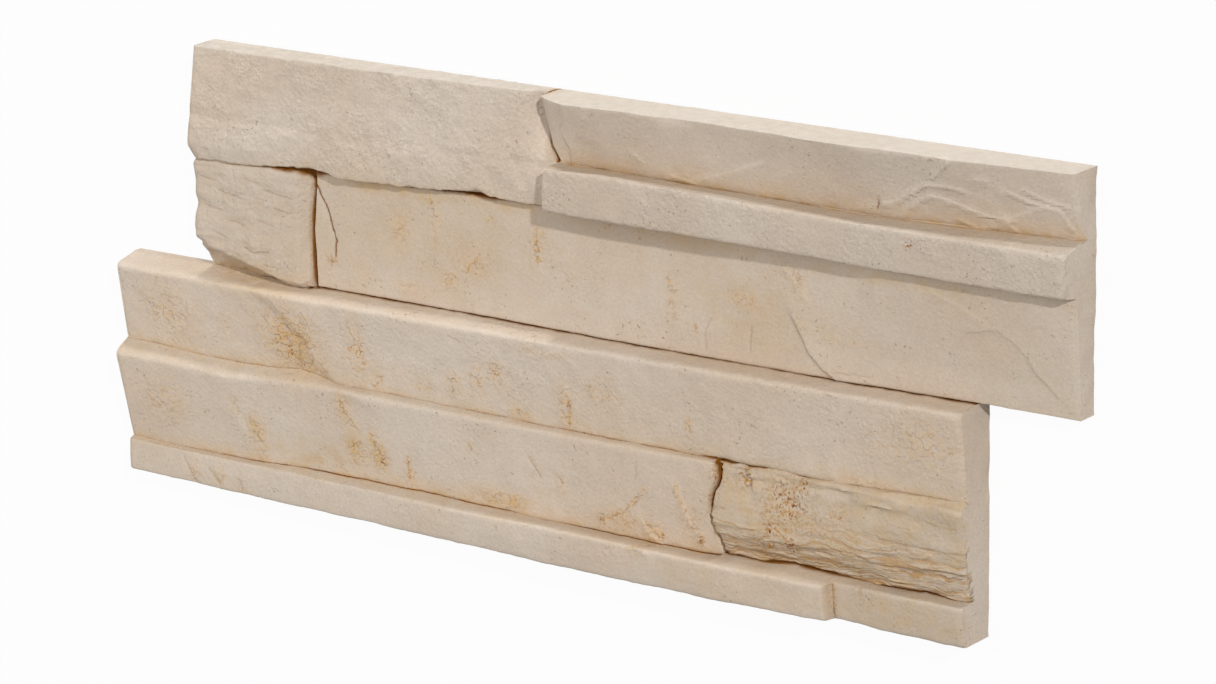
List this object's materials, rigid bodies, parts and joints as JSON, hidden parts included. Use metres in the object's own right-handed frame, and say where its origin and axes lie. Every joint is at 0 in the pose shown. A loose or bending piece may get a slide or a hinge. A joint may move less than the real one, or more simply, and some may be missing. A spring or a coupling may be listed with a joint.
{
  "type": "cast stone cladding panel",
  "caption": "Flat-backed cast wall cladding panel of staggered courses with split-stone relief, glued to a wall edge to edge with its like.",
  "frame": {"origin": "under the middle of the panel, on its flat back face", "axes": "+X along the courses towards the end where the upper course stands past the lower one, +Y up the wall, +Z out of the wall"},
  "size_m": [0.487, 0.2, 0.0249],
  "materials": {
    "cast_stone": "matte cast cream stone with ochre stain in the joints"
  },
  "bodies": {
    "root": {"stone_panel": "cast_stone"}
  },
  "joints": []
}
